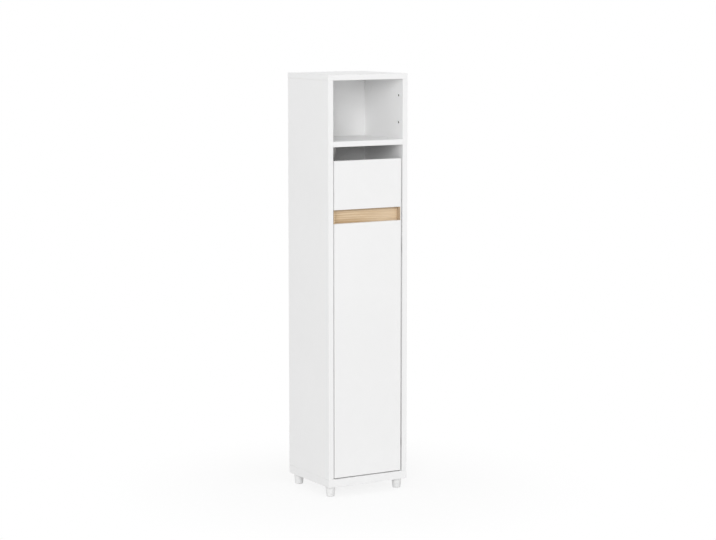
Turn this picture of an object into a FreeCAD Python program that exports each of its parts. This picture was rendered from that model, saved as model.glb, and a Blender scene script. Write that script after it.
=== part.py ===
import FreeCAD, Part
import os

from FreeCAD import Vector

# Overall size of the cabinet, in mm
WIDTH = 200.0
DEPTH = 183.0
HEIGHT = 930.0

# Boards of the carcass
BOARD = 12.0
BASE_BOARD = 18.0
BACK_BOARD = 3.0
BACK_SETBACK = 15.0
GROOVE_DEPTH = 5.0
EDGE_ROUND = 0.8
FRONT_ROUND = 1.0

# Feet
FOOT_HEIGHT = 23.5
FOOT_TOP_R = 11.2
FOOT_TIP_R = 8.8
FOOT_TIP_ROUND = 2.8
FOOT_FROM_SIDE = 14.5
FOOT_FROM_EDGE = 19.5
FOOT_WELL_R = 4.8
FOOT_WELL = 11.0
FOOT_SCREW_BITE = 12.6

# Front openings, measured down from the top board
NICHE_HEIGHT = 132.0
SLOT_HEIGHT = 30.0
UPPER_PANEL = 107.0
GRIP_HEIGHT = 30.0

# Door
DOOR_THICK = 12.0
DOOR_GAP = 2.5
DOOR_HINGE_GAP = 3.5
DOOR_BOTTOM_GAP = 2.0
DOOR_RECESS = 0.5
GRIP_BEHIND = 3.7
GRIP_UNDERCUT = 5.0
GRIP_END = 2.0
RAIL_LAND = 18.0
RAIL_THICK = 10.0
RAIL_SCREW_INSET = 26.0
ROLL_SHELF_BEHIND_RAIL = 6.0

# Largest load on the bar, its bore, and the room left around it
ROLL_LARGEST = 120.0
ROLL_CORE = 40.0
ROLL_CLEAR_BELOW = 8.0
ROLL_CLEAR_ABOVE = 10.0
ROLL_CLEAR_FRONT = 4.0

# Roll bar and its two open cradles
TUBE_R = 8.0
TUBE_WALL = 1.4
PLUG_JOURNAL = 20.0
PLUG_FLANGE_R = 9.0
PLUG_FLANGE = 2.0
PLUG_ROUND = 0.6
STUB_R = 5.0
CRADLE_BASE = 3.0
CRADLE_REACH = 10.0
CRADLE_HALF = 9.5
CRADLE_ABOVE = 10.0
CRADLE_BELOW = 11.0
CRADLE_BASE_HALF = 13.0
CRADLE_BASE_BELOW = 25.0
CRADLE_SCREW_DROP = 18.0
CRADLE_SCREW_SPREAD = 8.0
CRADLE_ROUND = 3.0

# Loose shelves and the pins that carry them
LOOSE_SHELVES = 2
LOOSE_SIDE_GAP = 1.0
LOOSE_BEHIND_DOOR = 9.5
LOOSE_REAR_GAP = 2.0
PIN_R = 2.45
PIN_DEEP = 8.0
PIN_WIDE = 10.0
PIN_PLATE = 1.6
PIN_TONGUE = 9.0
PIN_TONGUE_THICK = 2.2
PIN_DROP = 5.0
PIN_PLATE_DROP = 9.5
PIN_INSET = 20.0
PIN_PITCH = 32.0
NICHE_PIN_INSET = 18.5
NICHE_PIN_PITCH = 59.0

# Cam fasteners and dowels
CAM_R = 6.0
CAM_LENGTH = 9.2
CAM_REACH = 24.0
CAM_SUNK = 0.3
CAM_SLOT_WIDE = 1.3
CAM_SLOT_LONG = 7.6
CAM_SLOT_DEEP = 1.5
CAP_R = 7.2
CAP_THICK = 0.8
BOLT_THREAD_R = 2.5
BOLT_THREAD = 9.0
BOLT_SHAFT_R = 1.9
BOLT_HEAD_R = 2.6
BOLT_HEAD = 4.5
BOLT_PAST_CENTRE = 1.5
DOWEL_R = 3.0
DOWEL_IN_FACE = 8.0
DOWEL_IN_EDGE = 16.0
FIX_FROM_FRONT = 48.0
FIX_FROM_REAR = 41.0
DOWEL_FROM_BOLT = 16.0

# Hinges, hidden behind the right edge of the door
HINGE_FROM_END = 62.0
HINGE_PIN_R = 1.5
HINGE_PIN_FROM_EDGE = 7.5
HINGE_PIN_BEHIND_FACE = 6.0
KNUCKLE_R = 2.8
KNUCKLE_HEIGHT = 10.0
ARM_THICK = 2.5
ARM_FROM_PIN = 3.8
ARM_BEND_BEHIND_DOOR = 5.2
ARM_LENGTH = 42.0
ARM_FOOT = 18.0
ARM_PLATE = 2.0
ARM_PLATE_HALF = 18.0
ARM_PLATE_START = 12.0
ARM_PLATE_LONG = 36.0
ARM_SCREW_OFF = 11.5
CUP_CHEEK = 2.0
CUP_PAST_PIN = 6.2
CUP_INWARD = 13.0
CUP_WALL = 2.0
CUP_FLANGE = 1.5
CUP_FLANGE_HALF = 13.0
CUP_FLANGE_LONG = 26.0
CUP_SCREW_OFF = 7.5
CUP_SCREW_SHORT = 1.5

# Magnetic catch beside the left edge of the door
CATCH_BELOW_RAIL = 40.0
CATCH_REACH = 13.0
CATCH_DEEP = 18.0
CATCH_HALF = 20.0
CATCH_EAR = 3.0
CATCH_EAR_HALF = 30.0
CATCH_EAR_IN = 2.5
CATCH_EAR_ROUND = 3.0
POLE_THICK = 1.2
POLE_DEEP = 11.5
POLE_HALF = 15.0
POLE_PROUD = 0.3
MAGNET_THICK = 5.0
STRIKE_THICK = 1.2
STRIKE_WIDE = 14.0
STRIKE_HALF = 20.0
STRIKE_FROM_EDGE = 1.2
STRIKE_AIR = 0.1
STRIKE_SCREW_INSET = 5.0
STRIKE_SCREW_SHORT = 2.0
STRIKE_ROUND = 1.5

# Wall bracket under the niche shelf
BRACKET_WIDE = 22.0
BRACKET_THICK = 2.0
BRACKET_LEG = 26.0
BRACKET_DROP = 32.0
WALL_HOLE_R = 2.75
WALL_HOLE_DROP = 21.0
BRACKET_SCREW_SPREAD = 5.5
BRACKET_SCREW_BACK = 15.0
BRACKET_ROUND = 2.0

# Screws, as shank radius, head radius and head height
SCREW_R = 1.6
SCREW_HEAD_R = 3.1
SCREW_HEAD = 1.9
SCREW_HEAD_ROUND = 1.045
SCREW_SLOT_WIDE = 0.8
SCREW_SLOT_LONG = 3.4
SCREW_SLOT_DEEP = 1.0
SCREW_POINT = 2.4
SCREW_TIP_R = 0.4
SCREW_SHORT = 1.0
FOOT_SCREW_R = 2.0
FOOT_SCREW_HEAD_R = 3.9

# Clearances
FIT = 0.05
PIN_FIT = 0.03
LOOSE_FIT = 0.15
AIR = 0.4
HOLE_END = 0.5
PAST = 5.0

# Planes and levels that follow from the sizes above
HALF = WIDTH / 2
FRONT = -DEPTH / 2
REAR = DEPTH / 2
INNER = HALF - BOARD
BASE_TOP = FOOT_HEIGHT + BASE_BOARD
SIDE_TOP = HEIGHT - BOARD
NICHE_FLOOR = SIDE_TOP - NICHE_HEIGHT
NICHE_UNDER = NICHE_FLOOR - BOARD
DOOR_TOP = NICHE_UNDER - SLOT_HEIGHT
GRIP_TOP = DOOR_TOP - UPPER_PANEL
GRIP_BOTTOM = GRIP_TOP - GRIP_HEIGHT
DOOR_BOTTOM = BASE_TOP + DOOR_BOTTOM_GAP
DOOR_LEFT = DOOR_GAP - INNER
DOOR_RIGHT = INNER - DOOR_HINGE_GAP
DOOR_FACE = FRONT + DOOR_RECESS
DOOR_BACK = DOOR_FACE + DOOR_THICK
BACK_REAR = REAR - BACK_SETBACK
BACK_FACE = BACK_REAR - BACK_BOARD
ROLL_SPACE = ROLL_LARGEST + ROLL_CLEAR_BELOW + ROLL_CLEAR_ABOVE
ROLL_FLOOR = NICHE_UNDER - ROLL_SPACE
ROLL_UNDER = ROLL_FLOOR - BOARD
RAIL_BACK = DOOR_BACK + RAIL_THICK
RAIL_FLOOR = DOOR_BACK + GRIP_BEHIND
RAIL_TOP = GRIP_TOP + GRIP_UNDERCUT + RAIL_LAND
RAIL_BOTTOM = GRIP_BOTTOM - GRIP_UNDERCUT - RAIL_LAND
ROLL_FLOOR_FRONT = RAIL_BACK + ROLL_SHELF_BEHIND_RAIL
BAR_Y = DOOR_BACK + ROLL_LARGEST / 2 + ROLL_CLEAR_FRONT
BAR_Z = ROLL_FLOOR + ROLL_CLEAR_BELOW + ROLL_LARGEST / 2 + ROLL_CORE / 2 - TUBE_R
LOOSE_FRONT = DOOR_BACK + LOOSE_BEHIND_DOOR
LOOSE_REAR = BACK_FACE - LOOSE_REAR_GAP
BAY = (ROLL_UNDER - BASE_TOP - LOOSE_SHELVES * BOARD) / (LOOSE_SHELVES + 1)
FIX_YS = (FRONT + FIX_FROM_FRONT, REAR - FIX_FROM_REAR)
DOWEL_YS = (FIX_YS[0] + DOWEL_FROM_BOLT, FIX_YS[1] - DOWEL_FROM_BOLT)
HINGE_ZS = (DOOR_BOTTOM + HINGE_FROM_END, GRIP_BOTTOM - HINGE_FROM_END)
PIN_X = DOOR_RIGHT - HINGE_PIN_FROM_EDGE
PIN_Y = DOOR_FACE + HINGE_PIN_BEHIND_FACE
CATCH_Z = RAIL_BOTTOM - CATCH_BELOW_RAIL
SIDES = (-1, 1)

parts = {}
holes = {}


def box(x0, x1, y0, y1, z0, z1):
    """A plain block between two corners, given in any order."""
    low = Vector(min(x0, x1), min(y0, y1), min(z0, z1))
    return Part.makeBox(abs(x1 - x0), abs(y1 - y0), abs(z1 - z0), low)


def rod(radius, start, end):
    """A round bar from one point to another."""
    way = end.sub(start)
    return Part.makeCylinder(radius, way.Length, start, way)


def board(x0, x1, y0, y1, z0, z1, radius=EDGE_ROUND):
    """A board whose twelve edges are all eased."""
    block = box(x0, x1, y0, y1, z0, z1)
    return block.makeFillet(radius, block.Edges)


def shelf(half, y0, y1, z0, z1):
    """A shelf with square ends and an eased front edge."""
    block = box(-half, half, y0, y1, z0, z1)
    edges = [edge for edge in block.Edges if edge.BoundBox.YMax < y0 + AIR]
    long_edges = [edge for edge in edges if edge.BoundBox.XLength > half]
    return block.makeFillet(FRONT_ROUND, long_edges)


def ease(shape, radius, wanted):
    """Rounds the edges for which the test holds."""
    edges = [edge for edge in shape.Edges if wanted(edge.BoundBox)]
    return shape.makeFillet(radius, edges)


def one_solid(shape):
    """The single solid of a result that comes back wrapped."""
    return shape.removeSplitter().Solids[0]


def fuse(first, *others):
    """One solid from pieces that meet."""
    return one_solid(first.multiFuse(list(others)))


def cut(shape, *tools):
    """One solid with every tool taken out of it."""
    return one_solid(shape.cut(list(tools)))


def cross(wide, long, deep):
    """A driver cross that starts at z = 0 and goes down into the local +Z."""
    bar = box(-long / 2, long / 2, -wide / 2, wide / 2, 0, deep)
    other = box(-wide / 2, wide / 2, -long / 2, long / 2, 0, deep)
    return bar.fuse(other).removeSplitter()


def placed(shape, point, along):
    """A copy whose local +Z points along the given way."""
    copy = shape.copy()
    copy.Placement = FreeCAD.Placement(point, FreeCAD.Rotation(Vector(0, 0, 1), along))
    return copy


def drill(name, tool):
    """Keeps a tool for the board that it will be taken out of."""
    holes.setdefault(name, []).append(tool)


def collect(name, solid):
    """Adds a solid to a group of like pieces."""
    parts.setdefault(name, []).append(solid)


def pan_screw(radius, head_r, length):
    """A round-headed screw, its head below z = 0 and its shank along +Z."""
    straight = length - SCREW_POINT
    shank = Part.makeCylinder(radius, straight)
    point = Part.makeCone(radius, SCREW_TIP_R, SCREW_POINT, Vector(0, 0, straight))
    head = Part.makeCylinder(head_r, SCREW_HEAD, Vector(0, 0, -SCREW_HEAD))
    head = ease(head, SCREW_HEAD_ROUND, lambda b: b.ZMax < -SCREW_HEAD / 2)
    recess = cross(SCREW_SLOT_WIDE, SCREW_SLOT_LONG, SCREW_SLOT_DEEP)
    recess.translate(Vector(0, 0, -SCREW_HEAD))
    return cut(fuse(shank, point, head), recess)


def flat_screw(radius, head_r, length):
    """A countersunk screw, flush at z = 0 with its shank along +Z."""
    sink = head_r - radius
    straight = length - SCREW_POINT
    head = Part.makeCone(head_r, radius, sink)
    shank = Part.makeCylinder(radius, straight - sink, Vector(0, 0, sink))
    point = Part.makeCone(radius, SCREW_TIP_R, SCREW_POINT, Vector(0, 0, straight))
    recess = cross(SCREW_SLOT_WIDE, SCREW_SLOT_LONG, SCREW_SLOT_DEEP)
    return cut(fuse(head, shank, point), recess)


def shank_hole(radius, length):
    """The hole that a shank leaves in what it is driven into."""
    start = Vector(0, 0, -HOLE_END)
    return Part.makeCylinder(radius + FIT, length + 2 * HOLE_END, start)


def sink_hole(radius, head_r, length):
    """The hole that a countersunk screw leaves, head and all."""
    sink = head_r - radius
    start = Vector(0, 0, -HOLE_END)
    mouth = Part.makeCylinder(head_r + FIT, HOLE_END, start)
    cone = Part.makeCone(head_r + FIT, radius + FIT, sink)
    shank = Part.makeCylinder(radius + FIT, length - sink + HOLE_END, Vector(0, 0, sink))
    return fuse(mouth, cone, shank)


def drive_pan(group, point, along, length, plate, plate_name, board_name):
    """Drives a round-headed screw through a plate into a board."""
    collect(group, placed(pan_screw(SCREW_R, SCREW_HEAD_R, length), point, along))
    through = Part.makeCylinder(SCREW_R + LOOSE_FIT, plate + 2 * HOLE_END, Vector(0, 0, -HOLE_END))
    drill(plate_name, placed(through, point, along))
    drill(board_name, placed(shank_hole(SCREW_R, length), point, along))


def drive_flat(group, point, along, length, names):
    """Drives a countersunk screw through everything it meets."""
    collect(group, placed(flat_screw(SCREW_R, SCREW_HEAD_R, length), point, along))
    tool = placed(sink_hole(SCREW_R, SCREW_HEAD_R, length), point, along)
    for name in names:
        drill(name, tool)


def cam_set():
    """Bolt, cam and cap of one fastener with the holes for them.

    The bolt lies along local +X from the joint plane and the cam faces local +Z.
    """
    half = BOARD / 2
    end = CAM_REACH + BOLT_PAST_CENTRE
    neck = end - BOLT_HEAD
    way = Vector(1, 0, 0)
    thread = Part.makeCylinder(BOLT_THREAD_R, BOLT_THREAD, Vector(-BOLT_THREAD, 0, 0), way)
    shaft = Part.makeCylinder(BOLT_SHAFT_R, neck, Vector(0, 0, 0), way)
    head = Part.makeCylinder(BOLT_HEAD_R, BOLT_HEAD, Vector(neck, 0, 0), way)
    bolt = fuse(thread, shaft, head)
    channel_r = BOLT_HEAD_R + AIR
    channel_long = end + AIR + HOLE_END
    channel = Part.makeCylinder(channel_r, channel_long, Vector(-HOLE_END, 0, 0), way)
    face = half - CAM_SUNK
    centre = Vector(CAM_REACH, 0, face - CAM_LENGTH)
    slot = cross(CAM_SLOT_WIDE, CAM_SLOT_LONG, CAM_SLOT_DEEP)
    slot.translate(Vector(CAM_REACH, 0, face - CAM_SLOT_DEEP))
    cam = cut(Part.makeCylinder(CAM_R, CAM_LENGTH, centre), channel, slot)
    pocket_deep = CAM_LENGTH + CAM_SUNK + FIT
    pocket_start = Vector(CAM_REACH, 0, half - pocket_deep)
    pocket = Part.makeCylinder(CAM_R + FIT, pocket_deep + HOLE_END, pocket_start)
    disc = Part.makeCylinder(CAP_R, CAP_THICK, Vector(CAM_REACH, 0, half))
    disc = ease(disc, CAP_THICK / 2, lambda b: b.ZMin > half + CAP_THICK / 2)
    plug_deep = CAM_SUNK + CAM_SLOT_DEEP - LOOSE_FIT
    plug = cross(CAM_SLOT_WIDE - 2 * LOOSE_FIT, CAM_SLOT_LONG - 2 * LOOSE_FIT, plug_deep)
    plug.translate(Vector(CAM_REACH, 0, half - plug_deep))
    cap = fuse(disc, plug)
    bolt_hole_start = Vector(-BOLT_THREAD - HOLE_END, 0, 0)
    bolt_hole_long = BOLT_THREAD + 2 * HOLE_END
    bolt_hole = Part.makeCylinder(BOLT_THREAD_R + FIT, bolt_hole_long, bolt_hole_start, way)
    return bolt, cam, cap, bolt_hole, channel.fuse(pocket)


CAM_SET = cam_set()


def fasten(point, into, outward, face_name, edge_name):
    """Joins the edge of one board to the face of another with a cam."""
    turn = FreeCAD.Rotation(into, outward.cross(into), outward, "XZY")
    place = FreeCAD.Placement(point, turn)
    copies = []
    for piece in CAM_SET:
        copy = piece.copy()
        copy.Placement = place
        copies.append(copy)
    bolt, cam, cap, bolt_hole, cam_hole = copies
    collect("cam_bolts", bolt)
    collect("cam_locks", cam)
    collect("cam_caps", cap)
    drill(face_name, bolt_hole)
    drill(edge_name, cam_hole)


def peg(point, into, face_name, edge_name):
    """Lines two boards up with a glued wooden dowel."""
    start = point.sub(into * DOWEL_IN_FACE)
    end = point.add(into * DOWEL_IN_EDGE)
    collect("wood_dowels", rod(DOWEL_R, start, end))
    tool = rod(DOWEL_R + FIT, start.sub(into * HOLE_END), end.add(into * HOLE_END))
    drill(face_name, tool)
    drill(edge_name, tool)


def side_name(side):
    return "left_side" if side < 0 else "right_side"


def join_carcass():
    """Fastens the top, the base and the two fixed shelves to the sides."""
    up = Vector(0, 0, 1)
    down = Vector(0, 0, -1)
    for side in SIDES:
        name = side_name(side)
        inward = Vector(-side, 0, 0)
        middle = side * (HALF - BOARD / 2)
        for y in FIX_YS:
            fasten(Vector(middle, y, SIDE_TOP), down, inward, "top_board", name)
            fasten(Vector(middle, y, BASE_TOP), up, inward, "bottom_board", name)
            for floor, shelf_name in ((NICHE_FLOOR, "niche_shelf"), (ROLL_FLOOR, "roll_shelf")):
                point = Vector(side * INNER, y, floor - BOARD / 2)
                fasten(point, inward, down, name, shelf_name)
        for y in DOWEL_YS:
            peg(Vector(middle, y, SIDE_TOP), down, "top_board", name)
            peg(Vector(middle, y, BASE_TOP), up, "bottom_board", name)
            for floor, shelf_name in ((NICHE_FLOOR, "niche_shelf"), (ROLL_FLOOR, "roll_shelf")):
                peg(Vector(side * INNER, y, floor - BOARD / 2), inward, name, shelf_name)


def make_carcass():
    """Boards of the fixed body, still without their holes."""
    parts["top_board"] = board(-HALF, HALF, FRONT, REAR, SIDE_TOP, HEIGHT)
    parts["bottom_board"] = board(-HALF, HALF, FRONT, REAR, FOOT_HEIGHT, BASE_TOP)
    for side in SIDES:
        parts[side_name(side)] = board(side * HALF, side * INNER, FRONT, REAR, BASE_TOP, SIDE_TOP)
    parts["niche_shelf"] = shelf(INNER, FRONT, BACK_FACE, NICHE_UNDER, NICHE_FLOOR)
    parts["roll_shelf"] = shelf(INNER, ROLL_FLOOR_FRONT, BACK_FACE, ROLL_UNDER, ROLL_FLOOR)


def make_back():
    """Back panel held on all four sides in a groove."""
    tongue = GROOVE_DEPTH - HOLE_END
    low = BASE_TOP - tongue
    high = SIDE_TOP + tongue
    parts["back_panel"] = box(-INNER - tongue, INNER + tongue, BACK_FACE, BACK_REAR, low, high)
    front = BACK_FACE - FIT
    rear = BACK_REAR + FIT
    reach = INNER + GROOVE_DEPTH
    groove = box(-reach, reach, front, rear, BASE_TOP - GROOVE_DEPTH, SIDE_TOP + GROOVE_DEPTH)
    for name in ("top_board", "bottom_board", "left_side", "right_side"):
        drill(name, groove)


def make_feet():
    """Four tapered feet, each held by one screw in a well."""
    along = Vector(0, 0, 1)
    spots = {
        "foot_front_left": (FOOT_FROM_SIDE - HALF, FRONT + FOOT_FROM_EDGE),
        "foot_front_right": (HALF - FOOT_FROM_SIDE, FRONT + FOOT_FROM_EDGE),
        "foot_rear_left": (FOOT_FROM_SIDE - HALF, REAR - FOOT_FROM_EDGE),
        "foot_rear_right": (HALF - FOOT_FROM_SIDE, REAR - FOOT_FROM_EDGE),
    }
    length = FOOT_HEIGHT - FOOT_WELL + FOOT_SCREW_BITE
    screw = pan_screw(FOOT_SCREW_R, FOOT_SCREW_HEAD_R, length)
    well = Part.makeCylinder(FOOT_WELL_R, FOOT_WELL)
    through = Part.makeCylinder(FOOT_SCREW_R + LOOSE_FIT, FOOT_HEIGHT)
    body = Part.makeCone(FOOT_TIP_R, FOOT_TOP_R, FOOT_HEIGHT)
    body = ease(body, FOOT_TIP_ROUND, lambda b: b.ZMax < FOOT_HEIGHT / 2)
    foot = cut(body, well, through)
    for name, (x, y) in spots.items():
        copy = foot.copy()
        copy.translate(Vector(x, y, 0))
        parts[name] = copy
        seat = Vector(x, y, FOOT_WELL)
        collect("foot_screws", placed(screw, seat, along))
        drill("bottom_board", placed(shank_hole(FOOT_SCREW_R, length), seat, along))


def make_loose_shelves():
    """Loose shelves, their pins and the spare holes for other heights."""
    half = INNER - LOOSE_SIDE_GAP
    names = ("lower_shelf", "upper_shelf")
    rows = (LOOSE_FRONT + PIN_INSET, LOOSE_REAR - PIN_INSET)
    for index, name in enumerate(names):
        under = BASE_TOP + BAY * (index + 1) + BOARD * index
        parts[name] = shelf(half, LOOSE_FRONT, LOOSE_REAR, under, under + BOARD)
        for side in SIDES:
            for y in rows:
                add_pin(side, y, under)
                for step in (-1, 0, 1):
                    pin_hole(side, y, under - PIN_DROP + step * PIN_PITCH)


def pin_hole(side, y, z):
    """A blind hole for a shelf pin in the inner face of a side."""
    start = Vector(side * (INNER - HOLE_END), y, z)
    end = Vector(side * (INNER + PIN_DEEP + HOLE_END), y, z)
    drill(side_name(side), rod(PIN_R + FIT, start, end))


def add_pin(side, y, under):
    """A spoon-shaped pin whose tongue lies flat under the shelf."""
    left = y - PIN_WIDE / 2
    right = y + PIN_WIDE / 2
    face = side * INNER
    plate = box(face, face - side * PIN_PLATE, left, right, under - PIN_PLATE_DROP, under)
    tip = face - side * (PIN_PLATE + PIN_TONGUE)
    tongue = box(face, tip, left, right, under - PIN_TONGUE_THICK, under)
    centre = Vector(face, y, under - PIN_DROP)
    stem = rod(PIN_R, centre, centre.add(Vector(side * PIN_DEEP, 0, 0)))
    collect("shelf_pins", fuse(plate, tongue, stem))


def make_niche_holes():
    """Two pin holes near the front of each wall of the open niche."""
    middle = (NICHE_FLOOR + SIDE_TOP) / 2
    for side in SIDES:
        for way in SIDES:
            pin_hole(side, FRONT + NICHE_PIN_INSET, middle + way * NICHE_PIN_PITCH / 2)


def make_door():
    """Two white panels joined by the wooden grip rail behind them."""
    parts["door_upper_panel"] = board(
        DOOR_LEFT, DOOR_RIGHT, DOOR_FACE, DOOR_BACK, GRIP_TOP, DOOR_TOP, FRONT_ROUND
    )
    parts["door_lower_panel"] = board(
        DOOR_LEFT, DOOR_RIGHT, DOOR_FACE, DOOR_BACK, DOOR_BOTTOM, GRIP_BOTTOM, FRONT_ROUND
    )
    rail = box(DOOR_LEFT, DOOR_RIGHT, DOOR_BACK, RAIL_BACK, RAIL_BOTTOM, RAIL_TOP)
    rail = ease(rail, FRONT_ROUND, lambda b: b.YMin > RAIL_BACK - AIR)
    low = GRIP_BOTTOM - GRIP_UNDERCUT
    high = GRIP_TOP + GRIP_UNDERCUT
    trough = box(-HALF, HALF, DOOR_BACK - PAST, RAIL_FLOOR, low, high)
    parts["grip_rail"] = cut(rail, trough)
    for side, outer in zip(SIDES, (DOOR_LEFT, DOOR_RIGHT)):
        inner = outer - side * GRIP_END
        front = box(outer, inner, DOOR_FACE, DOOR_BACK, GRIP_BOTTOM, GRIP_TOP)
        behind = box(outer, inner, DOOR_BACK, RAIL_FLOOR, low, high)
        block = fuse(front, behind)
        name = "grip_end_left" if side < 0 else "grip_end_right"
        parts[name] = ease(block, EDGE_ROUND, lambda b: b.YMax < DOOR_FACE + AIR and b.ZLength > PAST)
    length = RAIL_THICK + DOOR_THICK / 2
    first = DOOR_LEFT + RAIL_SCREW_INSET
    last = DOOR_RIGHT - RAIL_SCREW_INSET
    for x in (first, (first + last) / 2, last):
        for z, panel in ((RAIL_TOP, "door_upper_panel"), (RAIL_BOTTOM, "door_lower_panel")):
            inset = RAIL_LAND / 2 if z < GRIP_TOP else -RAIL_LAND / 2
            point = Vector(x, RAIL_BACK, z + inset)
            drive_flat("grip_screws", point, Vector(0, -1, 0), length, ("grip_rail", panel))


def make_hinge(name, z):
    """One hidden hinge: arm on the right side, cup in the door, pin between."""
    half = KNUCKLE_HEIGHT / 2
    arm_name = name + "_hinge_arm"
    cup_name = name + "_hinge_cup"
    pin_low = Vector(PIN_X, PIN_Y, z - half - AIR - CUP_CHEEK)
    pin_high = Vector(PIN_X, PIN_Y, z + half + AIR + CUP_CHEEK)
    collect("hinge_pins", rod(HINGE_PIN_R, pin_low, pin_high))

    knuckle = rod(KNUCKLE_R, Vector(PIN_X, PIN_Y, z - half), Vector(PIN_X, PIN_Y, z + half))
    bar_x = PIN_X - ARM_FROM_PIN
    bend = Vector(bar_x, DOOR_BACK + ARM_BEND_BEHIND_DOOR, z)
    way = bend.sub(Vector(PIN_X, PIN_Y, z))
    neck = box(-ARM_THICK / 2, ARM_THICK / 2, -half, half, 0, way.Length)
    turn = FreeCAD.Rotation(Vector(0, 0, 1).cross(way), Vector(0, 0, 1), way, "ZYX")
    neck.Placement = FreeCAD.Placement(Vector(PIN_X, PIN_Y, z), turn)
    elbow = rod(ARM_THICK / 2, bend.sub(Vector(0, 0, half)), bend.add(Vector(0, 0, half)))
    arm_end = bend.y + ARM_LENGTH
    bar = box(bar_x - ARM_THICK / 2, bar_x + ARM_THICK / 2, bend.y, arm_end, z - half, z + half)
    stand = box(bar_x, INNER, arm_end - ARM_FOOT, arm_end, z - half, z + half)
    plate_y = bend.y + ARM_PLATE_START
    plate_end = plate_y + ARM_PLATE_LONG
    low = z - ARM_PLATE_HALF
    high = z + ARM_PLATE_HALF
    plate = box(INNER - ARM_PLATE, INNER, plate_y, plate_end, low, high)
    plate = ease(plate, FRONT_ROUND, lambda b: b.XLength > ARM_PLATE / 2)
    arm = fuse(knuckle, neck, elbow, bar, stand, plate)
    bore = rod(HINGE_PIN_R + FIT, pin_low, pin_high)
    parts[arm_name] = cut(arm, bore)
    screw_y = (plate_y + plate_end) / 2
    for off in (-ARM_SCREW_OFF, ARM_SCREW_OFF):
        point = Vector(INNER - ARM_PLATE, screw_y, z + off)
        drive_pan(
            "hinge_arm_screws", point, Vector(1, 0, 0), BOARD - SCREW_SHORT, ARM_PLATE,
            arm_name, "right_side",
        )

    near = PIN_X + CUP_PAST_PIN
    far = PIN_X - CUP_INWARD
    front = PIN_Y - KNUCKLE_R + FIT
    flange_back = DOOR_BACK + CUP_FLANGE
    wall_x = far + CUP_WALL
    inner = half + AIR
    outer = inner + CUP_CHEEK
    flange_end = far - CUP_FLANGE_LONG + CUP_WALL
    pieces = [box(far, wall_x, front, flange_back, z - outer, z + outer)]
    flange = box(flange_end, wall_x, DOOR_BACK, flange_back, z - CUP_FLANGE_HALF, z + CUP_FLANGE_HALF)
    pieces.append(ease(flange, FRONT_ROUND, lambda b: b.YLength > CUP_FLANGE / 2 and b.XMax < far))
    for way in SIDES:
        pieces.append(box(far, near, front, DOOR_BACK, z + way * inner, z + way * outer))
    pin_seat = rod(HINGE_PIN_R + PIN_FIT, pin_low, pin_high)
    parts[cup_name] = cut(fuse(*pieces), pin_seat)
    edge = DOOR_RIGHT + PAST
    mortise = box(far - AIR, edge, front - AIR, DOOR_BACK + PAST, z - outer - AIR, z + outer + AIR)
    drill("door_lower_panel", mortise)
    screw_x = (flange_end + far) / 2
    for off in (-CUP_SCREW_OFF, CUP_SCREW_OFF):
        point = Vector(screw_x, flange_back, z + off)
        drive_pan(
            "hinge_cup_screws", point, Vector(0, -1, 0), DOOR_THICK - CUP_SCREW_SHORT, CUP_FLANGE,
            cup_name, "door_lower_panel",
        )


def make_catch():
    """Magnetic catch on the left side and its steel plate on the door."""
    front = DOOR_BACK + STRIKE_THICK + STRIKE_AIR + POLE_PROUD
    rear = front + CATCH_DEEP
    low = CATCH_Z - CATCH_HALF
    high = CATCH_Z + CATCH_HALF
    body = box(-INNER, -INNER + CATCH_REACH, front, rear, low, high)
    body = ease(body, FRONT_ROUND, lambda b: b.XMin > CATCH_REACH - INNER - AIR)
    ear_low = CATCH_Z - CATCH_EAR_HALF
    ear_high = CATCH_Z + CATCH_EAR_HALF
    ears = box(-INNER, -INNER + CATCH_EAR, front + CATCH_EAR_IN, rear, ear_low, ear_high)
    ears = ease(ears, CATCH_EAR_ROUND, lambda b: b.XLength > CATCH_EAR / 2)
    stack = 2 * POLE_THICK + MAGNET_THICK
    start = -INNER + (CATCH_REACH - stack) / 2
    end = start + stack
    pole_front = front - POLE_PROUD
    pole_rear = pole_front + POLE_DEEP
    pole_low = CATCH_Z - POLE_HALF
    pole_high = CATCH_Z + POLE_HALF
    well = box(
        start - FIT, end + FIT, front - PAST, pole_rear + FIT, pole_low - FIT, pole_high + FIT
    )
    parts["catch_housing"] = cut(fuse(body, ears), well)
    for x in (start, end - POLE_THICK):
        pole = box(x, x + POLE_THICK, pole_front, pole_rear, pole_low, pole_high)
        collect("catch_poles", pole)
    inner_start = start + POLE_THICK + FIT
    inner_end = end - POLE_THICK - FIT
    magnet_front = front + POLE_PROUD
    parts["catch_magnet"] = box(inner_start, inner_end, magnet_front, pole_rear, pole_low, pole_high)
    screw_y = (front + CATCH_EAR_IN + rear) / 2
    offset = (CATCH_HALF + CATCH_EAR_HALF) / 2
    for way in SIDES:
        point = Vector(-INNER + CATCH_EAR, screw_y, CATCH_Z + way * offset)
        drive_pan(
            "catch_screws", point, Vector(-1, 0, 0), BOARD - SCREW_SHORT, CATCH_EAR,
            "catch_housing", "left_side",
        )
    edge = DOOR_LEFT + STRIKE_FROM_EDGE
    strike = box(
        edge, edge + STRIKE_WIDE, DOOR_BACK, DOOR_BACK + STRIKE_THICK,
        CATCH_Z - STRIKE_HALF, CATCH_Z + STRIKE_HALF,
    )
    parts["catch_strike"] = ease(strike, STRIKE_ROUND, lambda b: b.YLength > STRIKE_THICK / 2)
    for way in SIDES:
        z = CATCH_Z + way * (STRIKE_HALF - STRIKE_SCREW_INSET)
        point = Vector(edge + STRIKE_WIDE / 2, DOOR_BACK + STRIKE_THICK, z)
        length = DOOR_THICK - STRIKE_SCREW_SHORT
        drive_flat("strike_screws", point, Vector(0, -1, 0), length, ("catch_strike", "door_lower_panel"))


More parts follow.
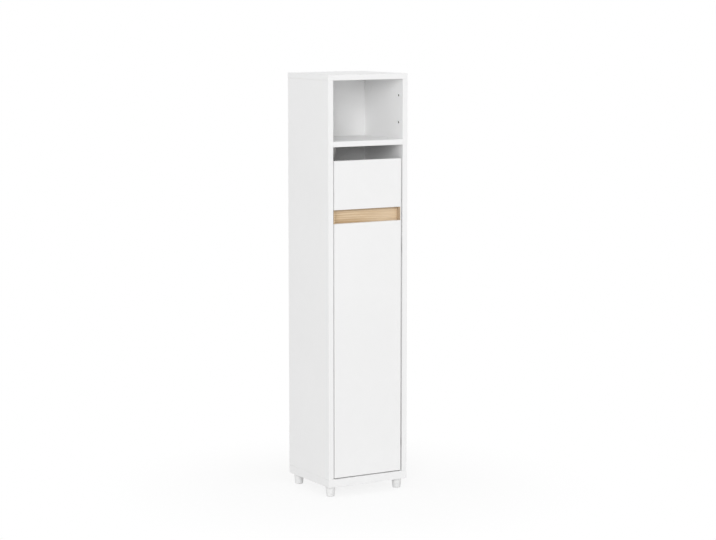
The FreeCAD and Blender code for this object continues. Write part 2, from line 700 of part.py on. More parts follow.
def make_roll_bar():
    """Bar that turns on two plugs and lifts out of two open cradles."""
    for side in SIDES:
        name = "roll_cradle_left" if side < 0 else "roll_cradle_right"
        face = side * INNER
        base = box(
            face, face - side * CRADLE_BASE, BAR_Y - CRADLE_BASE_HALF, BAR_Y + CRADLE_BASE_HALF,
            BAR_Z - CRADLE_BASE_BELOW, BAR_Z + CRADLE_ABOVE,
        )
        base = ease(base, CRADLE_ROUND, lambda b: b.XLength > CRADLE_BASE / 2)
        end = face - side * CRADLE_REACH
        fork = box(
            face, end, BAR_Y - CRADLE_HALF, BAR_Y + CRADLE_HALF,
            BAR_Z - CRADLE_BELOW, BAR_Z + CRADLE_ABOVE,
        )
        tip = abs(end) + AIR
        fork = ease(fork, FRONT_ROUND, lambda b: b.XLength > CRADLE_REACH / 2 or abs(b.Center.x) < tip)
        seat_r = STUB_R + LOOSE_FIT
        floor_x = face - side * CRADLE_BASE
        seat = rod(seat_r, Vector(floor_x, BAR_Y, BAR_Z), Vector(end - side * PAST, BAR_Y, BAR_Z))
        mouth = box(
            floor_x, end - side * PAST, BAR_Y - seat_r, BAR_Y + seat_r,
            BAR_Z, BAR_Z + CRADLE_ABOVE + PAST,
        )
        parts[name] = cut(fuse(base, fork), seat.fuse(mouth))
        for off in (-CRADLE_SCREW_SPREAD, CRADLE_SCREW_SPREAD):
            point = Vector(floor_x, BAR_Y + off, BAR_Z - CRADLE_SCREW_DROP)
            drive_pan(
                "cradle_screws", point, Vector(side, 0, 0), BOARD - SCREW_SHORT, CRADLE_BASE,
                name, side_name(side),
            )
        stub_end = Vector(floor_x - side * AIR, BAR_Y, BAR_Z)
        flange_out = Vector(end - side * AIR, BAR_Y, BAR_Z)
        flange_in = flange_out.sub(Vector(side * PLUG_FLANGE, 0, 0))
        journal_end = flange_in.sub(Vector(side * PLUG_JOURNAL, 0, 0))
        stub = rod(STUB_R, stub_end, flange_in)
        flange = rod(PLUG_FLANGE_R, flange_out, flange_in)
        flange = ease(flange, PLUG_ROUND, lambda b: b.XLength < AIR)
        journal_r = TUBE_R - TUBE_WALL - FIT
        journal = rod(journal_r, flange_in, journal_end)
        plug_name = "roll_plug_left" if side < 0 else "roll_plug_right"
        parts[plug_name] = fuse(stub, flange, journal)
    reach = INNER - CRADLE_REACH - PLUG_FLANGE - 2 * AIR
    start = Vector(-reach, BAR_Y, BAR_Z)
    end = Vector(reach, BAR_Y, BAR_Z)
    parts["roll_tube"] = cut(rod(TUBE_R, start, end), rod(TUBE_R - TUBE_WALL, start, end))


def make_bracket():
    """Angle under the niche shelf that a wall screw passes through."""
    half = BRACKET_WIDE / 2
    leg = box(-half, half, BACK_FACE - BRACKET_LEG, BACK_FACE, NICHE_UNDER - BRACKET_THICK, NICHE_UNDER)
    leg = ease(leg, BRACKET_ROUND, lambda b: b.YMax < BACK_FACE - BRACKET_LEG / 2 and b.ZLength > AIR)
    drop_z = NICHE_UNDER - BRACKET_DROP
    drop = box(-half, half, BACK_FACE - BRACKET_THICK, BACK_FACE, drop_z, NICHE_UNDER)
    drop = ease(drop, BRACKET_ROUND, lambda b: b.ZMax < drop_z + AIR and b.YLength > AIR)
    parts["wall_bracket"] = fuse(leg, drop)
    z = NICHE_UNDER - WALL_HOLE_DROP
    front = Vector(0, BACK_FACE - BRACKET_THICK - PAST, z)
    bore = rod(WALL_HOLE_R, front, Vector(0, BACK_REAR + PAST, z))
    drill("wall_bracket", bore)
    drill("back_panel", bore)
    for x in (-BRACKET_SCREW_SPREAD, BRACKET_SCREW_SPREAD):
        point = Vector(x, BACK_FACE - BRACKET_SCREW_BACK, NICHE_UNDER - BRACKET_THICK)
        drive_pan(
            "bracket_screws", point, Vector(0, 0, 1), BOARD - SCREW_SHORT, BRACKET_THICK,
            "wall_bracket", "niche_shelf",
        )


def write_parts():
    """Takes the holes out and writes one file for each piece."""
    os.makedirs("parts", exist_ok=True)
    for name, shape in parts.items():
        if isinstance(shape, list):
            shape = Part.makeCompound(shape)
        if name in holes:
            shape = cut(shape, *holes[name])
        shape.exportStep("parts/" + name + ".step")


make_carcass()
join_carcass()
make_back()
make_feet()
make_loose_shelves()
make_niche_holes()
make_door()
for hinge_name, hinge_z in zip(("lower", "upper"), HINGE_ZS):
    make_hinge(hinge_name, hinge_z)
make_catch()
make_roll_bar()
make_bracket()
write_parts()
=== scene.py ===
import math
from collections import namedtuple

import bmesh
import bpy
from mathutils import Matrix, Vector


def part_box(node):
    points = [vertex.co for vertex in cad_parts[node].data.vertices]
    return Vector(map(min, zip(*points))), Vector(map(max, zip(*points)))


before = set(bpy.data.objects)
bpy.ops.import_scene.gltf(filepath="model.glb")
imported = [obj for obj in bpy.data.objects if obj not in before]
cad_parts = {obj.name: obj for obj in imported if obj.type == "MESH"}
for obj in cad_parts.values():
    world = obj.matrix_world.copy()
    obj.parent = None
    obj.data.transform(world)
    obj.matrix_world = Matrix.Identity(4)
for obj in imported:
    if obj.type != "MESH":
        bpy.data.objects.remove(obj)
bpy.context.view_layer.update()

# All lengths are in metres and all tones are linear colours

# Camera, found by matching the straight edges of the photograph: its place, its angles in degrees,
# the tilt at which a camera looks level, and its lens and sensor in millimetres
CAMERA_PLACE = (-2.36541, -4.07876, 1.09613)
CAMERA_YAW = 30.397
CAMERA_PITCH = -7.310
LEVEL_TILT = 90.0
CAMERA_LENS = 106.99
SENSOR_WIDTH = 36.0

# Light: a dim even sky, a strong softbox in front and a weaker one overhead, with powers in watts
SKY_LEVEL = 0.566
SOFTBOX_AIM = (0.0, 0.0, 0.45)
SOFTBOX_SIZE = 3.4
FRONT_SOFTBOX_PLACE = (-4.78, -6.58, 2.94)
FRONT_SOFTBOX_POWER = 260.0
TOP_SOFTBOX_PLACE = (0.0, -0.74, 8.92)
TOP_SOFTBOX_POWER = 85.0

# Floor: half its side, the light that it throws back, its share of plain white beside the cabinet,
# and the distances from the cabinet's middle over which that share grows to the whole
FLOOR_HALF = 14.0
FLOOR_BOUNCE = (0.92, 0.92, 0.92, 1.0)
FLOOR_GLOW = 0.84
FLOOR_FADE = (0.14, 0.60)
WHITE = (1.0, 1.0, 1.0, 1.0)
WHITE_LEVEL = 1.0

# A noise pattern: features for each metre, octaves, and the weight of each finer octave
Pattern = namedtuple("Pattern", "rate octaves weight", defaults=(3.0, 0.5))

# A relief: how strongly it shows, from 0 to 1, and its height
Relief = namedtuple("Relief", "strength height")

# What sets one oak, plastic or metal apart from another
Oak = namedtuple("Oak", "pale mid late pore")
Plastic = namedtuple("Plastic", "light deep texture")
Metal = namedtuple("Metal", "light deep least_rough rough_span cloud marks relief")

# Spans that turn a noise pattern, whose values gather about 0.5, into a softer or sharper mask
SOFT_SPAN = (0.30, 0.70)
EVEN_SPAN = (0.32, 0.68)
FIRM_SPAN = (0.35, 0.65)
SHARP_SPAN = (0.36, 0.64)

# White satin lacquer: tones, patterns, and the share of each pattern in colour, gloss and relief
LACQUER_LIGHT = (0.945, 0.945, 0.945)
LACQUER_DEEP = (0.930, 0.930, 0.929)
LACQUER_EDGE = (0.905, 0.903, 0.896)
LACQUER_DRIFT = Pattern(rate=4.0, octaves=2.0)
LACQUER_MOTTLE = Pattern(rate=38.0, octaves=4.0)
LACQUER_PEEL = Pattern(rate=620.0, octaves=2.0)
LACQUER_GRIT = Pattern(rate=2600.0, octaves=1.0)
LACQUER_RELIEF = Relief(strength=0.10, height=0.00012)
LACQUER_ROUGH = 0.34
LACQUER_IOR = 1.47
DRIFT_SHARE = 0.7
MOTTLE_ROUGH = 0.10
GRIT_ROUGH = 0.04
GRIT_HEIGHT = 0.25
WEAR_SHARE = 0.45
WEAR_POLISH = 0.07

# Raw fibreboard in holes and cuts, its tone darkened past the board's own tan with painted shade for the
# holes, and the depths below a board's faces over which it comes to show
SHADED_CORE_LIGHT = (0.115, 0.098, 0.080)
SHADED_CORE_DARK = (0.065, 0.054, 0.043)
CORE_ROUGH = 0.45
CORE_DEPTHS = (0.00045, 0.00080)

# Distances from a board's edges over which the rubbed band along them fades
EDGE_BAND = (0.0004, 0.0026)

# Hardboard, and the depths below its rear face over which raw fibre gives way to its white face
HARDBOARD_FACE = (0.942, 0.942, 0.941)
HARDBOARD_LIGHT = (0.300, 0.190, 0.105)
HARDBOARD_DARK = (0.170, 0.100, 0.053)
HARDBOARD_FIBRE = Pattern(rate=900.0, octaves=4.0, weight=0.65)
HARDBOARD_CLUMPS = Pattern(rate=210.0, octaves=4.0)
HARDBOARD_SPECKS = Pattern(rate=520.0, octaves=2.0)
HARDBOARD_RELIEF = Relief(strength=0.22, height=0.00025)
HARDBOARD_ROUGH = 0.42
FIBRE_SHARE = 0.6
SPECK_SPAN = (0.62, 0.72)
SPECK_SHARE = 0.55
CLUMP_ROUGH = 0.06
RAW_ROUGH = 0.38
RAW_DEPTHS = (0.0003, 0.0007)
FACE_HEIGHT = 0.25

# Oak of the grip's rail, and a darker copy of it across the end of the groove, painted with the shade
# that falls there
RAIL_OAK = Oak(
    pale=(0.820, 0.648, 0.448),
    mid=(0.675, 0.498, 0.310),
    late=(0.578, 0.384, 0.196),
    pore=(0.400, 0.265, 0.140),
)
SHADED_BLOCK_OAK = Oak(
    pale=(0.610, 0.492, 0.366),
    mid=(0.510, 0.387, 0.262),
    late=(0.470, 0.330, 0.200),
    pore=(0.315, 0.215, 0.122),
)

# Growth rings of oak: their spacing across the grain, the radians that it gives for each metre, how
# many radians they wander, and how much they lean with the depth of the wood
RING_SPACING = 0.0060
RING_PITCH = 2.0 * math.pi / RING_SPACING
RING_WANDER = 26.0
RING_LEAN = 0.45

# Late wood: the span of the rings' wave that it takes up, and its share in colour, gloss and relief
LATE_SPAN = (-0.10, 0.95)
LATE_SHARE = 0.55
LATE_POLISH = 0.06
LATE_HEIGHT = 0.3

# Figure, fibres and pores of oak, and the scale along the grain that draws them out
OAK_SWAY = Pattern(rate=34.0, octaves=2.0)
OAK_FIGURE = Pattern(rate=95.0)
OAK_FIBRES = Pattern(rate=1400.0, octaves=4.0, weight=0.6)
OAK_PORES = Pattern(rate=2300.0, octaves=2.0)
OAK_RELIEF = Relief(strength=0.20, height=0.00020)
OAK_ROUGH = 0.48
FIGURE_STRETCH = 0.10
FIGURE_SHARE = 0.55
STRAND_STRETCH = 0.03
STRAND_ROUGH = 0.14
PORE_SPAN = (0.63, 0.72)
PORE_SHARE = 0.45
PORE_DEPTH = 0.8

# A paler tone towards the rail's right end, and the places along it, from the middle, over which it grows
RIGHT_END_PALE_TONE = (0.900, 0.735, 0.535)
RIGHT_END_PALE_PLACES = (-0.035, 0.090)
RIGHT_END_PALE_SHARE = 0.55

# Painted shade in the groove's corner, and the depths below the upper door panel over which it fades
PAINTED_SHADE_TONE = (0.330, 0.225, 0.130)
PAINTED_SHADE_DEPTHS = (0.0025, 0.0060)
PAINTED_SHADE_SHARE = 0.5

# Depths below a face of the grip over which its lacquer or painted shade gives way to bare wood
SKIN_DEPTHS = (0.00030, 0.00055)
SKIN_POLISH = 0.12

# Raw beech of the dowels, with its fibres drawn out upright
BEECH_PALE = (0.660, 0.470, 0.310)
BEECH_DARK = (0.500, 0.330, 0.200)
BEECH_STRETCH = (1.0, 1.0, 0.2)
BEECH_FIBRES = Pattern(rate=900.0)
BEECH_FLECKS = Pattern(rate=1900.0, octaves=2.0)
BEECH_RELIEF = Relief(strength=0.25, height=0.0002)
BEECH_ROUGH = 0.62
BEECH_FIBRE_ROUGH = 0.1
FLECK_SPAN = (0.60, 0.70)
FLECK_SHARE = 0.4

# White moulded plastics
PLASTIC_CLOUD = Pattern(rate=60.0)
PLASTIC_RELIEF = Relief(strength=0.16, height=0.00015)
PLASTIC_ROUGH = 0.36
PLASTIC_IOR = 1.49
PLASTIC_CLOUD_SHARE = 0.7
TEXTURE_ROUGH = 0.16
FOOT_PLASTIC = Plastic(
    light=(0.900, 0.900, 0.898),
    deep=(0.872, 0.872, 0.869),
    texture=Pattern(rate=1500.0, octaves=2.0, weight=0.6),
)
FITTING_PLASTIC = Plastic(
    light=(0.915, 0.915, 0.913),
    deep=(0.895, 0.895, 0.892),
    texture=Pattern(rate=1900.0, octaves=2.0, weight=0.6),
)
CAP_PLASTIC = Plastic(light=LACQUER_LIGHT, deep=LACQUER_DEEP, texture=FITTING_PLASTIC.texture)

# Metals, with their marks drawn out from front to back
MARK_STRETCH = (1.0, 0.12, 1.0)
METAL_CLOUD_SHARE = 0.6
FULL_METAL = 1.0
NICKEL = Metal(
    light=(0.700, 0.695, 0.680),
    deep=(0.560, 0.555, 0.545),
    least_rough=0.20,
    rough_span=0.22,
    cloud=Pattern(rate=84.0, octaves=4.0),
    marks=Pattern(rate=700.0, weight=0.6),
    relief=Relief(strength=0.10, height=0.0001),
)
ZINC = Metal(
    light=(0.640, 0.645, 0.640),
    deep=(0.480, 0.485, 0.500),
    least_rough=0.26,
    rough_span=0.24,
    cloud=Pattern(rate=132.0, octaves=4.0),
    marks=Pattern(rate=1100.0, weight=0.6),
    relief=Relief(strength=0.12, height=0.0001),
)
CAST_ZINC = Metal(
    light=(0.500, 0.505, 0.515),
    deep=(0.360, 0.365, 0.375),
    least_rough=0.42,
    rough_span=0.22,
    cloud=Pattern(rate=108.0, octaves=4.0),
    marks=Pattern(rate=900.0, weight=0.6),
    relief=Relief(strength=0.25, height=0.0001),
)
CHROME = Metal(
    light=(0.820, 0.822, 0.830),
    deep=(0.740, 0.742, 0.750),
    least_rough=0.05,
    rough_span=0.10,
    cloud=Pattern(rate=36.0, octaves=4.0),
    marks=Pattern(rate=300.0, weight=0.6),
    relief=Relief(strength=0.02, height=0.0001),
)

# Sintered ferrite of the magnet
FERRITE_LIGHT = (0.085, 0.085, 0.090)
FERRITE_DARK = (0.040, 0.040, 0.043)
FERRITE_GRAINS = Pattern(rate=1800.0)
FERRITE_RELIEF = Relief(strength=0.3, height=0.0001)
FERRITE_ROUGH = 0.5
FERRITE_GRAIN_ROUGH = 0.2

BOARDS = (
    "top_board", "bottom_board", "left_side", "right_side", "niche_shelf", "roll_shelf", "lower_shelf",
    "upper_shelf", "door_upper_panel", "door_lower_panel",
)
FEET = ("foot_front_left", "foot_front_right", "foot_rear_left", "foot_rear_right")
FITTINGS = (
    "roll_cradle_left", "roll_cradle_right", "roll_plug_left", "roll_plug_right", "catch_housing",
    "shelf_pins",
)
PLATED_STEEL = (
    "upper_hinge_arm", "lower_hinge_arm", "upper_hinge_cup", "lower_hinge_cup", "hinge_pins", "cam_bolts",
    "catch_poles", "catch_strike", "wall_bracket",
)
SCREWS = (
    "foot_screws", "grip_screws", "hinge_arm_screws", "hinge_cup_screws", "catch_screws", "strike_screws",
    "cradle_screws", "bracket_screws",
)


class Value:
    """A socket of a shader whose arithmetic adds Math nodes."""

    def __init__(self, shader, socket):
        self.shader = shader
        self.socket = socket

    def __add__(self, other):
        return self.shader.math("ADD", self, other)

    def __radd__(self, other):
        return self.shader.math("ADD", other, self)

    def __sub__(self, other):
        return self.shader.math("SUBTRACT", self, other)

    def __rsub__(self, other):
        return self.shader.math("SUBTRACT", other, self)

    def __mul__(self, other):
        return self.shader.math("MULTIPLY", self, other)

    def __rmul__(self, other):
        return self.shader.math("MULTIPLY", other, self)

    def __abs__(self):
        return self.shader.math("ABSOLUTE", self)


class Shader:
    """The node tree of one finish or of the sky."""

    def __init__(self, tree):
        self.tree = tree
        tree.nodes.clear()

    def node(self, kind, settings=None, inputs=None):
        """Adds a node, sets it up, then fills or links its sockets by identifier."""
        made = self.tree.nodes.new(kind)
        for name, value in (settings or {}).items():
            setattr(made, name, value)
        sockets = {socket.identifier: socket for socket in made.inputs}
        for name, value in (inputs or {}).items():
            if isinstance(value, Value):
                self.tree.links.new(value.socket, sockets[name])
            else:
                sockets[name].default_value = value
        return {socket.identifier: Value(self, socket) for socket in made.outputs}

    def math(self, operation, first, second=0.0):
        inputs = {"Value": first, "Value_001": second}
        return self.node("ShaderNodeMath", {"operation": operation}, inputs)["Value"]

    def least(self, first, second):
        return self.math("MINIMUM", first, second)

    def most(self, first, second):
        return self.math("MAXIMUM", first, second)

    def blend(self, mask, first, second):
        """One colour where the mask is 0 and another where it is 1."""
        inputs = {"Factor_Float": mask}
        for name, colour in (("A_Color", first), ("B_Color", second)):
            inputs[name] = colour if isinstance(colour, Value) else (*colour, 1.0)
        return self.node("ShaderNodeMix", {"data_type": "RGBA"}, inputs)["Result_Color"]

    def place(self):
        """Object coordinates, in metres."""
        return self.node("ShaderNodeTexCoord")["Object"]

    def axes(self, place):
        parts = self.node("ShaderNodeSeparateXYZ", None, {"Vector": place})
        return parts["X"], parts["Y"], parts["Z"]

    def stretched(self, place, scale):
        inputs = {"Vector": place, "Scale": scale}
        return self.node("ShaderNodeMapping", {"vector_type": "POINT"}, inputs)["Vector"]

    def noise(self, place, pattern):
        inputs = {"Vector": place}
        inputs["Scale"] = pattern.rate
        inputs["Detail"] = pattern.octaves
        inputs["Roughness"] = pattern.weight
        return self.node("ShaderNodeTexNoise", None, inputs)["Fac"]

    def ramp(self, value, span):
        """0 below the span, 1 above it and smooth between."""
        inputs = {"Value": value, "From Min": span[0], "From Max": span[1]}
        return self.node("ShaderNodeMapRange", {"interpolation_type": "SMOOTHSTEP"}, inputs)["Result"]

    def bump(self, height, relief):
        inputs = {"Height": height, "Strength": relief.strength, "Distance": relief.height}
        return self.node("ShaderNodeBump", None, inputs)["Normal"]

    def board_masks(self, place, low, high):
        """Where a board is cut or drilled into its core, and where it is near an edge."""
        depths = []
        for value, start, end in zip(self.axes(place), low, high):
            depths.append((end - start) / 2.0 - abs(value - (start + end) / 2.0))
        x, y, z = depths
        smaller = self.least(x, y)
        nearest = self.least(smaller, z)
        second = self.most(smaller, self.least(self.most(x, y), z))
        return self.ramp(nearest, CORE_DEPTHS), 1.0 - self.ramp(second, EDGE_BAND)

    def seen_directly(self):
        """1 for rays from the camera and for mirror or clear rays, 0 for diffuse ones."""
        path = self.node("ShaderNodeLightPath")
        rays = self.most(path["Is Camera Ray"], path["Is Glossy Ray"])
        return self.most(rays, path["Is Transmission Ray"])

    def mixed(self, mask, first, second):
        """One shader where the mask is 0 and another where it is 1."""
        inputs = {"Fac": mask, "Shader": first, "Shader_001": second}
        return self.node("ShaderNodeMixShader", None, inputs)["Shader"]

    def surface(self, inputs):
        made = self.node("ShaderNodeBsdfPrincipled", None, inputs)["BSDF"]
        self.node("ShaderNodeOutputMaterial", None, {"Surface": made})


def weighed(first, second, share):
    """The mean of two values, the first of which has the given share."""
    return first * share + second * (1.0 - share)


def new_finish(name):
    material = bpy.data.materials.new(name)
    material.use_nodes = True
    return material, Shader(material.node_tree)


def lacquer_finish(board):
    """White satin lacquer on fibreboard: orange peel, rubbed edges and a raw core in its holes, darkened
    there with painted shade.
    """
    material, shader = new_finish("satin_lacquer_" + board)
    place = shader.place()
    core, edge = shader.board_masks(place, *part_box(board))
    drift = shader.noise(place, LACQUER_DRIFT)
    mottle = shader.noise(place, LACQUER_MOTTLE)
    peel = shader.noise(place, LACQUER_PEEL)
    grit = shader.noise(place, LACQUER_GRIT)
    worn = edge * shader.ramp(mottle, SOFT_SPAN)
    tone = shader.ramp(weighed(drift, mottle, DRIFT_SHARE), FIRM_SPAN)
    colour = shader.blend(tone, LACQUER_DEEP, LACQUER_LIGHT)
    colour = shader.blend(worn * WEAR_SHARE, colour, LACQUER_EDGE)
    # The raw core's tone is darker than bare fibreboard: painted shade inside the holes and cuts
    fibre = shader.blend(shader.ramp(grit, SOFT_SPAN), SHADED_CORE_DARK, SHADED_CORE_LIGHT)
    colour = shader.blend(core, colour, fibre)
    rough = LACQUER_ROUGH + mottle * MOTTLE_ROUGH + grit * GRIT_ROUGH
    rough = rough - worn * WEAR_POLISH + core * CORE_ROUGH
    normal = shader.bump(peel + grit * (GRIT_HEIGHT + core), LACQUER_RELIEF)
    shader.surface({"Base Color": colour, "Roughness": rough, "Normal": normal, "IOR": LACQUER_IOR})
    return material


def hardboard_finish(board):
    """Thin hardboard, white inside the cabinet and raw brown fibre at the back."""
    material, shader = new_finish("white_faced_hardboard")
    place = shader.place()
    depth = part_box(board)[1].y - shader.axes(place)[1]
    raw = 1.0 - shader.ramp(depth, RAW_DEPTHS)
    fibre = shader.noise(place, HARDBOARD_FIBRE)
    clumps = shader.noise(place, HARDBOARD_CLUMPS)
    specks = shader.ramp(shader.noise(place, HARDBOARD_SPECKS), SPECK_SPAN)
    tone = shader.ramp(weighed(fibre, clumps, FIBRE_SHARE), EVEN_SPAN)
    brown = shader.blend(tone, HARDBOARD_DARK, HARDBOARD_LIGHT)
    brown = shader.blend(specks * SPECK_SHARE, brown, HARDBOARD_DARK)
    white = shader.blend(shader.ramp(clumps, SOFT_SPAN), LACQUER_DEEP, HARDBOARD_FACE)
    colour = shader.blend(raw, white, brown)
    rough = HARDBOARD_ROUGH + raw * RAW_ROUGH + clumps * CLUMP_ROUGH
    normal = shader.bump(fibre * (FACE_HEIGHT + raw), HARDBOARD_RELIEF)
    shader.surface({"Base Color": colour, "Roughness": rough, "Normal": normal})
    return material


def oak_grain(shader, place, along, oak):
    """Colour, roughness and relief of oak under matt varnish, its fibres along one axis."""
    strand_way = shader.stretched(place, [STRAND_STRETCH if axis == along else 1.0 for axis in "XYZ"])
    figure_way = shader.stretched(place, [FIGURE_STRETCH if axis == along else 1.0 for axis in "XYZ"])
    x, y, z = shader.axes(place)
    across = y * RING_LEAN + (x if along == "Z" else z)
    sway = shader.noise(figure_way, OAK_SWAY)
    rings = shader.math("SINE", across * RING_PITCH + sway * RING_WANDER)
    late = shader.ramp(rings, LATE_SPAN)
    figure = shader.noise(figure_way, OAK_FIGURE)
    fibres = shader.noise(strand_way, OAK_FIBRES)
    pores = shader.ramp(shader.noise(strand_way, OAK_PORES), PORE_SPAN)
    tone = shader.ramp(weighed(figure, fibres, FIGURE_SHARE), SHARP_SPAN)
    colour = shader.blend(tone, oak.mid, oak.pale)
    colour = shader.blend(late * LATE_SHARE, colour, oak.late)
    colour = shader.blend(pores * PORE_SHARE, colour, oak.pore)
    rough = OAK_ROUGH + fibres * STRAND_ROUGH - late * LATE_POLISH
    return colour, rough, fibres - pores * PORE_DEPTH + late * LATE_HEIGHT


def rail_finish():
    """Oak of the grip, paler at one end, with painted shade in the corner under the upper panel."""
    material, shader = new_finish("oak_rail")
    place = shader.place()
    colour, rough, relief = oak_grain(shader, place, "X", RAIL_OAK)
    x, y, z = shader.axes(place)
    # The rail turns paler towards its right end
    colour = shader.blend(shader.ramp(x, RIGHT_END_PALE_PLACES) * RIGHT_END_PALE_SHARE, colour, RIGHT_END_PALE_TONE)
    panel_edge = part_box("door_upper_panel")[0].z
    groove_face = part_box("grip_end_right")[1].y
    # Painted shade: the oak of the groove's face darkens in the corner under the upper panel
    under_panel_shade = 1.0 - shader.ramp(panel_edge - z, PAINTED_SHADE_DEPTHS)
    facing = 1.0 - shader.ramp(y - groove_face, SKIN_DEPTHS)
    colour = shader.blend(under_panel_shade * facing * PAINTED_SHADE_SHARE, colour, PAINTED_SHADE_TONE)
    normal = shader.bump(relief, OAK_RELIEF)
    shader.surface({"Base Color": colour, "Roughness": rough, "Normal": normal})
    return material


def end_block_finish(block):
    """Oak across the end of the groove, darkened as painted shade, lacquered white on the front and
    outside with the door.
    """
    material, shader = new_finish("oak_end_block")
    place = shader.place()
    # The block's oak is a darker copy of the rail's oak: painted shade for the end of the groove
    colour, rough, relief = oak_grain(shader, place, "Z", SHADED_BLOCK_OAK)
    low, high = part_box(block)
    x, y = shader.axes(place)[:2]
    lacquered = 1.0 - shader.ramp(shader.least(y - low.y, high.x - x), SKIN_DEPTHS)
    colour = shader.blend(lacquered, colour, LACQUER_DEEP)
    rough = rough - lacquered * SKIN_POLISH
    normal = shader.bump(relief * (1.0 - lacquered), OAK_RELIEF)
    shader.surface({"Base Color": colour, "Roughness": rough, "Normal": normal})
    return material


def beech_finish():
    """Raw beech of the dowels, with short dark flecks."""
    material, shader = new_finish("raw_beech")
    place = shader.stretched(shader.place(), BEECH_STRETCH)
    fibres = shader.noise(place, BEECH_FIBRES)
    flecks = shader.ramp(shader.noise(place, BEECH_FLECKS), FLECK_SPAN)
    colour = shader.blend(shader.ramp(fibres, SOFT_SPAN), BEECH_DARK, BEECH_PALE)
    colour = shader.blend(flecks * FLECK_SHARE, colour, BEECH_DARK)
    rough = BEECH_ROUGH + fibres * BEECH_FIBRE_ROUGH
    normal = shader.bump(fibres, BEECH_RELIEF)
    shader.surface({"Base Color": colour, "Roughness": rough, "Normal": normal})
    return material


def plastic_finish(name, plastic):
    """White moulded plastic with a fine spark-eroded texture."""
    material, shader = new_finish(name)
    place = shader.place()
    cloud = shader.noise(place, PLASTIC_CLOUD)
    texture = shader.noise(place, plastic.texture)
    tone = shader.ramp(weighed(cloud, texture, PLASTIC_CLOUD_SHARE), SOFT_SPAN)
    colour = shader.blend(tone, plastic.deep, plastic.light)
    rough = PLASTIC_ROUGH + texture * TEXTURE_ROUGH
    normal = shader.bump(texture, PLASTIC_RELIEF)
    shader.surface({"Base Color": colour, "Roughness": rough, "Normal": normal, "IOR": PLASTIC_IOR})
    return material


def metal_finish(name, metal):
    """Plated or cast metal with cloudy gloss and fine marks."""
    material, shader = new_finish(name)
    place = shader.place()
    cloud = shader.noise(place, metal.cloud)
    marks = shader.noise(shader.stretched(place, MARK_STRETCH), metal.marks)
    haze = weighed(cloud, marks, METAL_CLOUD_SHARE)
    colour = shader.blend(shader.ramp(haze, EVEN_SPAN), metal.deep, metal.light)
    rough = metal.least_rough + haze * metal.rough_span
    normal = shader.bump(marks, metal.relief)
    shader.surface({"Base Color": colour, "Metallic": FULL_METAL, "Roughness": rough, "Normal": normal})
    return material


def ferrite_finish():
    """Sintered ferrite, dark grey and slightly grainy."""
    material, shader = new_finish("sintered_ferrite")
    grains = shader.noise(shader.place(), FERRITE_GRAINS)
    colour = shader.blend(shader.ramp(grains, FIRM_SPAN), FERRITE_DARK, FERRITE_LIGHT)
    rough = FERRITE_ROUGH + grains * FERRITE_GRAIN_ROUGH
    normal = shader.bump(grains, FERRITE_RELIEF)
    shader.surface({"Base Color": colour, "Roughness": rough, "Normal": normal})
    return material


def floor_finish():
    """Plain white, of which a share beside the cabinet is lit and so keeps its soft shadow."""
    material, shader = new_finish("pale_floor")
    x, y = shader.axes(shader.place())[:2]
    reach = shader.math("SQRT", x * x + y * y)
    glow = FLOOR_GLOW + shader.ramp(reach, FLOOR_FADE) * (1.0 - FLOOR_GLOW)
    bounce = shader.node("ShaderNodeBsdfDiffuse", None, {"Color": FLOOR_BOUNCE})["BSDF"]
    lit = shader.node("ShaderNodeBsdfDiffuse", None, {"Color": WHITE})["BSDF"]
    white = shader.node("ShaderNodeEmission", None, {"Color": WHITE, "Strength": WHITE_LEVEL})["Emission"]
    shown = shader.mixed(glow, lit, white)
    floor = shader.mixed(shader.seen_directly(), bounce, shown)
    shader.node("ShaderNodeOutputMaterial", None, {"Surface": floor})
    return material


def set_camera():
    data = bpy.data.cameras.new("photo_camera")
    data.lens = CAMERA_LENS
    data.sensor_width = SENSOR_WIDTH
    camera = bpy.data.objects.new("photo_camera", data)
    camera.location = CAMERA_PLACE
    camera.rotation_euler = (math.radians(LEVEL_TILT + CAMERA_PITCH), 0.0, math.radians(-CAMERA_YAW))
    bpy.context.collection.objects.link(camera)
    bpy.context.scene.camera = camera
    bpy.context.scene.view_settings.view_transform = "Standard"


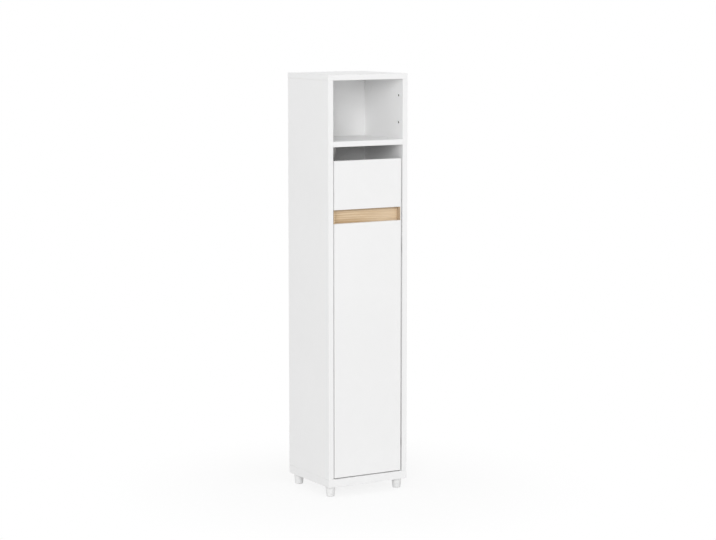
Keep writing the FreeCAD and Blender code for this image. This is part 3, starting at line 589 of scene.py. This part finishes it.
def set_sky():
    """An even sky that lights at its own level and shows as plain white."""
    world = bpy.data.worlds.new("studio_sky")
    world.use_nodes = True
    bpy.context.scene.world = world
    shader = Shader(world.node_tree)
    glow = {"Color": WHITE, "Strength": SKY_LEVEL}
    light = shader.node("ShaderNodeBackground", None, glow)["Background"]
    white = {"Color": WHITE, "Strength": WHITE_LEVEL}
    shown = shader.node("ShaderNodeBackground", None, white)["Background"]
    sky = shader.mixed(shader.seen_directly(), light, shown)
    shader.node("ShaderNodeOutputWorld", None, {"Surface": sky})


def set_softbox(name, place, power):
    """A square softbox that faces the cabinet."""
    data = bpy.data.lights.new(name, "AREA")
    data.shape = "SQUARE"
    data.size = SOFTBOX_SIZE
    data.energy = power
    lamp = bpy.data.objects.new(name, data)
    lamp.location = place
    aim = Vector(SOFTBOX_AIM) - Vector(place)
    lamp.rotation_euler = aim.to_track_quat("-Z", "Y").to_euler()
    bpy.context.collection.objects.link(lamp)


def lay_floor():
    mesh = bpy.data.meshes.new("studio_floor")
    form = bmesh.new()
    bmesh.ops.create_grid(form, x_segments=1, y_segments=1, size=FLOOR_HALF)
    form.to_mesh(mesh)
    form.free()
    mesh.materials.append(floor_finish())
    floor = bpy.data.objects.new("studio_floor", mesh)
    bpy.context.collection.objects.link(floor)


def dress(nodes, material):
    """Gives CAD nodes a finish."""
    for name in nodes:
        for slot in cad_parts[name].material_slots:
            slot.material = material


set_camera()
set_sky()
set_softbox("front_softbox", FRONT_SOFTBOX_PLACE, FRONT_SOFTBOX_POWER)
set_softbox("top_softbox", TOP_SOFTBOX_PLACE, TOP_SOFTBOX_POWER)
lay_floor()

for board_name in BOARDS:
    dress([board_name], lacquer_finish(board_name))
dress(["back_panel"], hardboard_finish("back_panel"))
dress(["grip_rail", "grip_end_left"], rail_finish())
dress(["grip_end_right"], end_block_finish("grip_end_right"))
dress(["wood_dowels"], beech_finish())
dress(FEET, plastic_finish("foot_plastic", FOOT_PLASTIC))
dress(FITTINGS, plastic_finish("moulded_plastic", FITTING_PLASTIC))
dress(["cam_caps"], plastic_finish("cap_plastic", CAP_PLASTIC))
dress(PLATED_STEEL, metal_finish("nickel_plated_steel", NICKEL))
dress(SCREWS, metal_finish("zinc_plated_screw", ZINC))
dress(["cam_locks"], metal_finish("die_cast_zinc", CAST_ZINC))
dress(["roll_tube"], metal_finish("chromed_tube", CHROME))
dress(["catch_magnet"], ferrite_finish())
